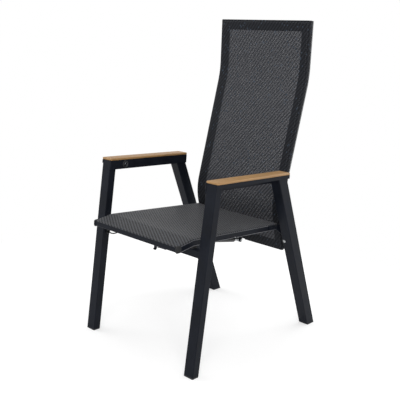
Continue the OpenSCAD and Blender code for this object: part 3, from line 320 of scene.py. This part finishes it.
def weave(name, pitch_mm, weft, warp, hole_from, sheen):
    """A 2/2 twill of pitch_mm along and across. hole_from is how far from a crossing's middle, in pitches,
    the hole between four yarns starts: 0.5 and more leaves none."""
    cloth = fresh_material(name)
    cloth_uv = add(cloth, "ShaderNodeUVMap", {"uv_map": "cut"})
    yarns = add(cloth, "ShaderNodeVectorMath", {"operation": "DIVIDE"}, {
        0: cloth_uv.outputs[0], 1: (pitch_mm[0] / 1000, pitch_mm[1] / 1000, 1.0)})
    crossing = add(cloth, "ShaderNodeVectorMath", {"operation": "FLOOR"}, {0: yarns.outputs[0]})
    number = add(cloth, "ShaderNodeSeparateXYZ", {}, {0: crossing.outputs[0]})
    in_crossing = add(cloth, "ShaderNodeVectorMath", {"operation": "FRACTION"}, {0: yarns.outputs[0]})
    off_middle = add(cloth, "ShaderNodeVectorMath", {"operation": "SUBTRACT"}, {
        0: in_crossing.outputs[0], 1: (0.5, 0.5, 0.5)})
    away = add(cloth, "ShaderNodeSeparateXYZ", {}, {
        0: add(cloth, "ShaderNodeVectorMath", {"operation": "ABSOLUTE"}, {
            0: off_middle.outputs[0]}).outputs[0]})
    # Counting crossings along the diagonal, from 4000 so as to stay above zero, two in every four
    # have the warp on top: that makes the ribs.
    diagonal = add(cloth, "ShaderNodeMath", {"operation": "SUBTRACT"}, {
        0: number.outputs[0], 1: number.outputs[1]})
    counted = add(cloth, "ShaderNodeMath", {"operation": "ADD"}, {0: diagonal.outputs[0], 1: 4000.0})
    step = add(cloth, "ShaderNodeMath", {"operation": "MODULO"}, {0: counted.outputs[0], 1: 4.0})
    warp_on_top = add(cloth, "ShaderNodeMath", {"operation": "LESS_THAN"}, {
        0: step.outputs[0], 1: 1.5}).outputs[0]
    gap_u = add(cloth, "ShaderNodeMath", {"operation": "GREATER_THAN"}, {0: away.outputs[0], 1: hole_from})
    gap_v = add(cloth, "ShaderNodeMath", {"operation": "GREATER_THAN"}, {0: away.outputs[1], 1: hole_from})
    hole = add(cloth, "ShaderNodeMath", {"operation": "MULTIPLY"}, {0: gap_u.outputs[0], 1: gap_v.outputs[0]})
    solid_share = add(cloth, "ShaderNodeMath", {"operation": "SUBTRACT"}, {0: 1.0, 1: hole.outputs[0]})
    # A yarn's back is highest along its middle and falls with the square of the distance from it.
    roundness = add(cloth, "ShaderNodeMix", {"data_type": "FLOAT"}, {
        0: warp_on_top, 2: away.outputs[1], 3: away.outputs[0]})
    fallen = add(cloth, "ShaderNodeMath", {"operation": "POWER"}, {0: roundness.outputs[0], 1: 2.0})
    height = add(cloth, "ShaderNodeMath", {"operation": "MULTIPLY_ADD"}, {
        0: fallen.outputs[0], 1: -3.4, 2: 1.0})
    yarn_noise = add(cloth, "ShaderNodeTexNoise", {}, {
        "Vector": cloth_uv.outputs[0], "Scale": 45.0, "Detail": 4.0})
    yarn_tone = add(cloth, "ShaderNodeMix", {"data_type": "RGBA"}, {
        0: warp_on_top, 6: linear(weft), 7: linear(warp)})
    # Each yarn's colour is also darkened where it falls away from its middle: painted shade in the dips
    # between the yarns.
    yarn_tone_with_painted_shade = add(cloth, "ShaderNodeMix", {"data_type": "RGBA", "blend_type": "MULTIPLY"}, {
        0: 0.5, 6: yarn_tone.outputs[2],
        7: add(cloth, "ShaderNodeMix", {"data_type": "RGBA"}, {
            0: height.outputs[0], 6: linear("#6a6a6a"), 7: linear("#ffffff")}).outputs[2]})
    cloth_tone = add(cloth, "ShaderNodeMix", {"data_type": "RGBA", "blend_type": "MULTIPLY"}, {
        0: 0.35, 6: yarn_tone_with_painted_shade.outputs[2],
        7: add(cloth, "ShaderNodeMix", {"data_type": "RGBA"}, {
            0: yarn_noise.outputs[0], 6: linear("#b0b0b0"), 7: linear("#ffffff")}).outputs[2]})
    # One crossing in fifty is painted a little bluer in its base colour: a painted glint off the PVC coat.
    chance = add(cloth, "ShaderNodeTexWhiteNoise", {"noise_dimensions": "2D"}, {
        "Vector": crossing.outputs[0]})
    painted_glint = add(cloth, "ShaderNodeMath", {"operation": "GREATER_THAN"}, {0: chance.outputs[0], 1: 0.98})
    painted_glint_tone = add(cloth, "ShaderNodeMix", {"data_type": "RGBA"}, {
        0: painted_glint.outputs[0], 6: cloth_tone.outputs[2], 7: linear("#39434f")})
    yarn_skin = add(cloth, "ShaderNodeBump", {}, {
        "Strength": 0.7, "Distance": 0.0006, "Height": height.outputs[0]})
    return finish_material(cloth, add(cloth, "ShaderNodeBsdfPrincipled", {}, {
        "Base Color": painted_glint_tone.outputs[2], "Roughness": 0.5, "IOR": 1.5, "Specular IOR Level": 0.05,
        "Sheen Weight": sheen, "Sheen Roughness": 0.5, "Alpha": solid_share.outputs[0],
        "Normal": yarn_skin.outputs[0]}))


def bent_line(points, radii, steps=10):
    """A line of (y, z) points whose corners are rounded, as evenly cut arcs."""
    line = [Vector(points[0])]
    for i in range(1, len(points) - 1):
        corner = Vector(points[i])
        into = (corner - Vector(points[i - 1])).normalized()
        out = (Vector(points[i + 1]) - corner).normalized()
        angle = into.angle(out)
        if radii[i - 1] <= 0 or angle < 1e-4:
            line.append(corner)
            continue
        turn = 1 if into.x * out.y - into.y * out.x > 0 else -1
        start = corner - into * radii[i - 1] * math.tan(angle / 2)
        centre = start + Vector((-into.y, into.x)) * turn * radii[i - 1]
        for k in range(steps + 1):
            a = turn * angle * k / steps
            arm = start - centre
            line.append(centre + Vector((arm.x * math.cos(a) - arm.y * math.sin(a),
                                         arm.x * math.sin(a) + arm.y * math.cos(a))))
    line.append(Vector(points[-1]))
    return line


def resampled(line, spacing):
    """Points along a line, at most spacing apart, with its own points kept."""
    result = [line[0]]
    for a, b in zip(line, line[1:]):
        count = max(1, math.ceil((b - a).length / spacing))
        result += [a + (b - a) * k / count for k in range(1, count + 1)]
    return result


def length_of(line):
    return sum((b - a).length for a, b in zip(line, line[1:]))


def normals_of(line):
    """The unit vectors to the left of a line, at each of its points."""
    result = []
    for i in range(len(line)):
        d = (line[min(i + 1, len(line) - 1)] - line[max(i - 1, 0)]).normalized()
        result.append(Vector((-d.y, d.x)))
    return result


def lofted_cloth(name, rows, spans, start):
    """A cloth from rows of 3D points, as a grid whose UV map "cut" holds metres on the flat cloth:
    spans across it, and from start on along its middle."""
    across, down = len(rows[0]), len(rows)
    bpy.ops.object.select_all(action="DESELECT")
    bpy.ops.mesh.primitive_grid_add(x_subdivisions=across - 1, y_subdivisions=down - 1, size=2)
    cloth = bpy.context.object
    cloth.name = name
    mesh = cloth.data
    lengths = [start]
    for a, b in zip(rows, rows[1:]):
        lengths.append(lengths[-1] + (Vector(b[across // 2]) - Vector(a[across // 2])).length)
    order = sorted(range(len(mesh.vertices)),
                   key=lambda i: (round(mesh.vertices[i].co.y, 5), round(mesh.vertices[i].co.x, 5)))
    cut = [None] * len(order)
    for n, i in enumerate(order):
        r, c = divmod(n, across)
        mesh.vertices[i].co = rows[r][c]
        cut[i] = (spans[c], lengths[r])
    layer = mesh.uv_layers.get("cut") or mesh.uv_layers.new(name="cut")
    for loop in mesh.loops:
        layer.data[loop.index].uv = cut[loop.vertex_index]
    for other in [u for u in mesh.uv_layers if u.name != "cut"]:
        mesh.uv_layers.remove(other)
    return cloth


def pocket_section(half, side, sag, keep=()):
    """A sling's cut from one edge over the front to the other. side is its left edge as (in from the
    edge, behind the front). Gives (x, behind the front) and the distance along the cloth from its middle."""
    left = [(half - inset, deep) for inset, deep in side]
    flat = left[-1][0]
    strips = 26
    xs = sorted([flat * (1 - 2 * k / strips) for k in range(1, strips)] + list(keep), reverse=True)
    section = left + [(x, (1 - (x / flat) ** 2) * sag) for x in xs] + [(-x, d) for x, d in reversed(left)]
    run = [0.0]
    for a, b in zip(section, section[1:]):
        run.append(run[-1] + math.hypot(b[0] - a[0], b[1] - a[1]))
    return section, [r - run[-1] / 2 for r in run]


def rows_along(line, half, side, sag, edge, proud, keep=()):
    """The sling's rows of points along a line of (y, z), sagging by sag away from its two ends."""
    rows, gone, spans = [], 0.0, None
    total = length_of(line)
    for i, (point, inward) in enumerate(zip(line, normals_of(line))):
        gone += (line[i] - line[i - 1]).length if i else 0.0
        ease = min(1.0, gone / edge, (total - gone) / edge)
        section, spans = pocket_section(half, side, sag * ease * ease * (3 - 2 * ease), keep)
        rows.append([Vector((x, *(point + inward * (d - proud)))) for x, d in section])
    return rows, spans


def sewn_cloth(name, parts, thickness, cutters, node, body, material):
    """Joins lofted parts at their shared rows, gives the cloth its thickness and cuts its openings."""
    made = [lofted_cloth(name, rows, spans, start) for rows, spans, start in parts]
    bpy.ops.object.select_all(action="DESELECT")
    for piece in made:
        piece.select_set(True)
    bpy.context.view_layer.objects.active = made[0]
    bpy.ops.object.join()
    cloth = bpy.context.object
    bpy.ops.object.mode_set(mode="EDIT")
    bpy.ops.mesh.select_all(action="SELECT")
    bpy.ops.mesh.remove_doubles(threshold=0.00005)
    bpy.ops.mesh.normals_make_consistent(inside=False)
    bpy.ops.object.mode_set(mode="OBJECT")
    wall = cloth.modifiers.new("thickness", "SOLIDIFY")
    wall.thickness, wall.offset = thickness, 0
    bpy.ops.object.modifier_apply(modifier=wall.name)
    for cutter in cutters:
        opening = cloth.modifiers.new("opening", "BOOLEAN")
        opening.object, opening.operation, opening.solver = cutter, "DIFFERENCE", "EXACT"
        bpy.ops.object.modifier_apply(modifier=opening.name)
        bpy.data.objects.remove(cutter)
    bpy.ops.object.shade_smooth_by_angle(angle=math.radians(40))
    cloth = new_piece(name, material, body)
    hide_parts(node)
    return cloth


# ---- Back sling ----------------------------------------------------------------------------------
# One width of mesh stretched over the back frame: its long edges go round the rails into a groove
# behind, its ends are folded over the top and bottom bars. It gives a little between the rails.
# A closely woven dark border, doubled, is sewn round the mesh and covers the frame.
back_weave = weave("PVC-coated polyester yarn, woven and heat-fused", (3.5, 4.8), "#38393c", "#55565b",
                   0.42, 0.04)
border_weave = weave("polyester yarn, woven close and doubled", (3.5, 4.8), "#1c1d21", "#2b2d32", 0.6, 0.04)
half_back, rail_deep, cloth_out, cloth_thick = 0.205, 0.022, 0.0009, 0.0005
row_pitch, back_sag, back_ease = 0.012, 0.0022, 0.09
flap_start = -0.1  # where on the weave the head's and the seat's rear flaps begin
tail_lean, back_lean, head_lean = (math.radians(a) for a in (18.4, 11.2, 3.3))
low_z, high_z, head_z, tail_z = 0.501, 0.982, 1.183, 0.326
low_bend = Vector((0.1456, low_z))
high_bend = Vector((low_bend.x + (high_z - low_z) * math.tan(back_lean), high_z))
back_head = Vector((high_bend.x - (head_z - high_z) * math.tan(head_lean), head_z))
back_tail = Vector((low_bend.x + (low_z - tail_z) * math.tan(tail_lean), tail_z))
border_left, border_right, border_head, border_tail = 0.175, -0.162, 0.038, 0.040
bracket_edge = 0.023
back_front = resampled(bent_line([
    back_head, back_head + (high_bend - back_head).normalized() * border_head, high_bend, low_bend,
    back_tail + (low_bend - back_tail).normalized() * border_tail, back_tail], [0, 0.30, 0.20, 0]), row_pitch)
back_deep = rail_deep + 2 * cloth_out
back_side = [(0.029, back_deep), (0.0145, back_deep), (0.004, back_deep), (0.0012, back_deep - 0.0008),
             (0, back_deep - 0.0035), (0, back_deep * 0.5), (0, 0.0035), (0.0012, 0.0008), (0.0035, 0)]
back_rows, back_spans = rows_along(
    back_front, half_back + cloth_out, back_side, back_sag, back_ease, cloth_out,
    (border_left, bracket_edge, -bracket_edge, border_right))
flap_columns = slice(len(back_side) - 1, len(back_spans) - len(back_side) + 1)
flap_spans = back_spans[flap_columns]
flap_xs = [p.x for p in back_rows[0][flap_columns]]
head_along = (back_head - high_bend).normalized()
head_behind = Vector((head_along.y, -head_along.x))
tail_along = (back_tail - low_bend).normalized()
tail_behind = Vector((-tail_along.y, tail_along.x))


def end_flap(first_row, end, along, behind, reach):
    """Rows from the front cloth's own edge, over the bar, and along its rear face by reach."""
    out = cloth_out
    stations = [(out * 0.3, -out), (out, -out * 0.3), (out, 0.0035), (out, rail_deep * 0.5),
                (out, rail_deep - 0.0035), (out * 0.3, rail_deep + out)]
    stations += [(-reach * k / 4, rail_deep + out) for k in (1, 2, 3, 4)]
    rows = [list(first_row)]
    for forward, deep in stations:
        p = end + along * forward + behind * deep
        rows.append([Vector((x, p.x, p.y)) for x in flap_xs])
    return rows


def opening_bar(x, y, z, radius, length):
    """A round cutter along X."""
    bpy.ops.object.select_all(action="DESELECT")
    bpy.ops.mesh.primitive_cylinder_add(vertices=48, radius=radius, depth=length, location=(x, y, z),
                                        rotation=(0, math.pi / 2, 0))
    return bpy.context.object


pivot_x, pivot_y, pivot_z = 0.2075, 0.18802, 0.402
pivot_cutters = [opening_bar(side * pivot_x, pivot_y, pivot_z, radius=0.0138, length=0.01)
                 for side in (1, -1)]
bracket_up, bracket_cut = 0.019, (2 * bracket_edge, 0.02, 0.0425)
bracket_middle = back_tail - tail_along * bracket_up
bpy.ops.object.select_all(action="DESELECT")
bpy.ops.mesh.primitive_cube_add(size=1, location=(0, bracket_middle.x, bracket_middle.y),
                                scale=bracket_cut, rotation=(tail_lean, 0, 0))
bracket_opening = bpy.context.object
head_flap = end_flap(back_rows[0][flap_columns], back_head, head_along, head_behind, reach=0.034)
tail_flap = end_flap(back_rows[-1][flap_columns], back_tail, tail_along, tail_behind, reach=0.036)
back_parts = [(back_rows, back_spans, 0.0), (tail_flap, flap_spans, length_of(back_front)),
              (head_flap, flap_spans, flap_start)]
back_cloth = sewn_cloth("back_mesh", back_parts, cloth_thick, pivot_cutters + [bracket_opening],
                        "back_sling", "backrest", back_weave)
back_cloth.data.materials.append(border_weave)
for face in back_cloth.data.polygons:
    from_head = (Vector(face.center.yz) - back_head).dot(-head_along)
    from_tail = (Vector(face.center.yz) - back_tail).dot(-tail_along)
    beside = face.center.x > border_left or face.center.x < border_right
    if beside or from_head < border_head or from_tail < border_tail:
        face.material_index = 1

# ---- Seat sling ----------------------------------------------------------------------------------
# The same mesh over the top of the seat frame. Its edges are rolled over the rails' top corners and the
# front tube's, its rear end is folded down behind the rear tube. It hangs 5 mm in the middle.
seat_weave = weave("PVC-coated polyester yarn, woven tighter and heat-fused", (4.0, 2.9),
                   "#242528", "#55565a", 0.42, 0.10)
half_seat, tube_corner, tube_high = 0.200, 0.002, 0.020
seat_sag, seat_ease = 0.005, 0.16
seat_rear = Vector((0.15655, 0.43678))
seat_bend = Vector((-0.3148, 0.452))
seat_front = Vector((-0.3728, 0.4415))
seat_top = resampled(bent_line([seat_rear, seat_bend, seat_front], [0.06]), row_pitch)
roll = tube_corner + cloth_out
seat_side = [(roll * (1 - math.cos(a)), roll * (1 - math.sin(a)))
             for a in (math.radians(22.5 * k) for k in range(5))]
seat_edge = half_seat + cloth_out
seat_rows, seat_spans = rows_along(seat_top, seat_edge, seat_side, seat_sag, seat_ease, cloth_out)
seat_spans = [-s for s in seat_spans]  # this piece lies the other face up, so its ribs lean the other way
seat_columns = slice(len(seat_side) - 1, len(seat_spans) - len(seat_side) + 1)
seat_xs = [p.x for p in seat_rows[0][seat_columns]]
nose_profile = ((-0.3790, 0.44075), (-0.3860, 0.44035), (-0.3896, 0.4399), (-0.3917, 0.4389),
                (-0.3930, 0.4374))
nose_rows = [list(seat_rows[-1])]
for y, z in nose_profile:
    nose_rows.append([Vector((seat_edge - inset, y, z - deep)) for inset, deep in seat_side]
                     + [Vector((x, y, z)) for x in seat_xs[1:-1]]
                     + [Vector((inset - seat_edge, y, z - deep)) for inset, deep in reversed(seat_side)])
under = -tube_high - cloth_out
rear_profile = ((cloth_out * 0.3, cloth_out), (cloth_out, cloth_out * 0.3), (cloth_out, -0.004),
                (cloth_out, -0.016), (cloth_out * 0.3, under), (-0.006, under), (-0.018, under))
rear_rows = [list(seat_rows[0][seat_columns])]
for y, z in rear_profile:
    rear_rows.append([Vector((x, seat_rear.x + y, seat_rear.y + z)) for x in seat_xs])
seat_parts = [(seat_rows, seat_spans, 0.0), (nose_rows, seat_spans, length_of(seat_top)),
              (rear_rows, seat_spans[seat_columns], flap_start)]
seat_cloth = sewn_cloth("seat_mesh", seat_parts, cloth_thick, [], "seat_sling", "root", seat_weave)

# ---- Seams ---------------------------------------------------------------------------------------
# Bonded polyester thread, a little paler than the mesh: a row of stitches, one every 7 mm, close to
# the slings' long edges, across the back's head and across the seat's nose.
thread = coated("polyester thread, bonded and sewn", "#4c4e52", "#66686c", 0.5, 0.5, 0.0001, 0.2)
stitch_pitch, stitch_lift = 0.007, cloth_out + 0.0005


def stitch_run(name, places, body, length=0.0042, thick=0.0009):
    """A row of stitches: one thread segment, modelled once, copied to each (place, direction, outward)."""
    bpy.ops.object.select_all(action="DESELECT")
    bpy.ops.mesh.primitive_uv_sphere_add(segments=6, ring_count=5, radius=0.5)
    seed = bpy.context.object
    shape = [(v.co.x * length, v.co.y * thick, v.co.z * thick * 0.7) for v in seed.data.vertices]
    faces = [tuple(p.vertices) for p in seed.data.polygons]
    bpy.data.objects.remove(seed)
    verts, polys = [], []
    for place, direction, outward in places:
        d, o = Vector(direction).normalized(), Vector(outward).normalized()
        s = o.cross(d)
        base = len(verts)
        verts += [Vector(place) + d * x + s * y + o * z for x, y, z in shape]
        polys += [tuple(base + i for i in f) for f in faces]
    mesh = bpy.data.meshes.new(name)
    mesh.from_pydata(verts, [], polys)
    row = bpy.data.objects.new(name, mesh)
    bpy.context.scene.collection.objects.link(row)
    bpy.context.view_layer.objects.active = row
    row.select_set(True)
    bpy.ops.object.shade_smooth()
    return new_piece(name, thread, body)


def edge_stitches(line, x):
    """Stitches along a (y, z) line, at x on both sides."""
    stitches, carried = [], stitch_pitch
    outer = [p - n * stitch_lift for p, n in zip(line, normals_of(line))]
    for a, b in zip(outer, outer[1:]):
        length = (b - a).length
        d = (b - a) / length
        while carried < length:
            p = a + d * carried
            for side in (1, -1):
                stitches.append(((side * x, p.x, p.y), (0, d.x, d.y), (0, d.y, -d.x)))
            carried += stitch_pitch
        carried -= length
    return stitches


def cross_stitches(point, outward, half):
    """Stitches along X through a (y, z) point, from -half to half."""
    count = int(2 * half / stitch_pitch)
    return [((-half + 2 * half * (k + 0.5) / count, point.x, point.y), (1, 0, 0), (0, outward.x, outward.y))
            for k in range(count)]


head_seam_down = 0.007
head_seam = back_head - head_along * head_seam_down - head_behind * stitch_lift
nose_seam = Vector((-0.3860, 0.4409))
back_seam_x, seat_seam_x, head_seam_half, nose_seam_half = 0.199, 0.194, 0.196, 0.190
back_seams = stitch_run("back_stitches", edge_stitches(back_front, back_seam_x)
                        + cross_stitches(head_seam, -head_behind, head_seam_half), "backrest")
seat_seams = stitch_run("seat_stitches", edge_stitches(seat_top, seat_seam_x)
                        + cross_stitches(nose_seam, Vector((0, 1)), nose_seam_half), "root")

# ---- Hem rods and rail lines ---------------------------------------------------------------------
# A plastic rod sewn into each long edge of the slings, which shows as a thin raised edge, and a thin pale
# grey rod of the same material along the foot of each seat rail, which draws a pale line there.
hem_rod = coated("PVC hem rod in folded mesh", "#55565a", "#6b6c70", 0.5, 0.8, 0.0001)


def rod(name, lines, radius, body):
    """Round cords along lines of 3D points, closed at both ends."""
    curve = bpy.data.curves.new(name, "CURVE")
    curve.dimensions, curve.bevel_depth, curve.bevel_resolution = "3D", radius, 2
    curve.use_fill_caps = True
    for line in lines:
        spline = curve.splines.new("POLY")
        spline.points.add(len(line) - 1)
        for q, p in zip(spline.points, line):
            q.co = (*p, 1)
    piece = bpy.data.objects.new(name, curve)
    bpy.context.scene.collection.objects.link(piece)
    bpy.ops.object.select_all(action="DESELECT")
    bpy.context.view_layer.objects.active = piece
    piece.select_set(True)
    bpy.ops.object.convert(target="MESH")
    bpy.ops.object.shade_smooth_by_angle(angle=math.radians(50))
    return new_piece(name, hem_rod, body)


def hem_line(line, x, depth):
    """A (y, z) line moved behind the front by depth, at x on both sides."""
    return [[(side * x, *(p + n * depth)) for p, n in zip(line, normals_of(line))] for side in (1, -1)]


hem_start, hem_end = 0.058, Vector((-0.3905, 0.4402))  # in from the rear end, and at the nose
edge_line = bent_line([seat_rear - (seat_rear - seat_bend).normalized() * hem_start, seat_bend,
                       seat_front, hem_end], [0.06, 0.02])
thin_rod, thick_rod = 0.0008, 0.0011
seat_hems = rod("seat_hem_rods", hem_line(edge_line, half_seat + 0.0010, tube_corner + 0.0006),
                thin_rod, "root")
rod("seat_rail_pale_lines", hem_line(seat_top, half_seat + 0.0008, tube_high + 0.0012), thick_rod, "root")
back_hems = rod("back_hem_rods", hem_line(back_front, half_back + 0.0009, rail_deep + 0.0011), thick_rod,
                "backrest")

# ---- Welds ---------------------------------------------------------------------------------------
# The tubes are joined by a bead of weld laid all round each end, and coated together with it: a ring
# of low ripples in the frame's own colour.


def weld(x, middle, deep, high, lean, bead=0.0016):
    """One bead round the end, at x, of a tube of deep x high, leaning by lean."""
    bpy.ops.object.select_all(action="DESELECT")
    bpy.ops.mesh.primitive_plane_add(size=1, location=(0, 0, 0))
    ring = bpy.context.object
    bpy.ops.object.mode_set(mode="EDIT")
    bpy.ops.transform.resize(value=(deep, high, 1))
    bpy.ops.mesh.select_all(action="SELECT")
    bpy.ops.mesh.bevel(offset=0.003, segments=3, affect="VERTICES")
    bpy.ops.mesh.select_all(action="SELECT")
    bpy.ops.mesh.delete(type="ONLY_FACE")
    bpy.ops.mesh.select_all(action="SELECT")
    bpy.ops.mesh.subdivide(number_cuts=5)
    bpy.ops.object.mode_set(mode="OBJECT")
    bpy.ops.object.convert(target="CURVE")
    ring = bpy.context.object
    ring.data.bevel_depth, ring.data.bevel_resolution = bead, 1
    for spline in ring.data.splines:
        for k, point in enumerate(spline.points):
            point.radius = 1.0 if k % 2 else 0.86
    bpy.ops.object.convert(target="MESH")
    ring.matrix_world = Matrix.Translation((x, middle.y, middle.z)) @ Matrix.Rotation(lean, 4, "X") @ Matrix(
        ((0, 0, 1, 0), (1, 0, 0, 0), (0, 1, 0, 0), (0, 0, 0, 1)))
    bpy.ops.object.transform_apply(location=True, rotation=True, scale=True)
    return ring


def weld_group(name, rings, body):
    bpy.ops.object.select_all(action="DESELECT")
    for ring in rings:
        ring.select_set(True)
    bpy.context.view_layer.objects.active = rings[0]
    bpy.ops.object.join()
    bpy.ops.object.shade_smooth_by_angle(angle=math.radians(50))
    return new_piece(name, coat, body)


def welds_of(node, x, deep, high, lean=0.0):
    """The beads at both ends of a tube that runs from side to side."""
    low, high_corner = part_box(node)
    middle = (Vector(low) + Vector(high_corner)) / 2
    return [weld(side * x, middle, deep, high, lean) for side in (1, -1)]


leg_inside, seat_rail_inside, back_rail_inside = 0.2293, 0.1795, 0.1745
weld_group("crossbar_welds", welds_of("front_crossbar", leg_inside, 0.025, 0.025), "root")
weld_group("seat_welds", welds_of("seat_rear_tube", seat_rail_inside, 0.020, 0.020)
           + welds_of("seat_mid_tube", seat_rail_inside, 0.025, 0.012), "root")
weld_group("back_welds", welds_of("back_top_bar", back_rail_inside, 0.022, 0.038, head_lean)
           + welds_of("back_mid_bar", back_rail_inside, 0.014, 0.026, -back_lean)
           + welds_of("back_bottom_bar", back_rail_inside, 0.022, 0.040, tail_lean), "backrest")
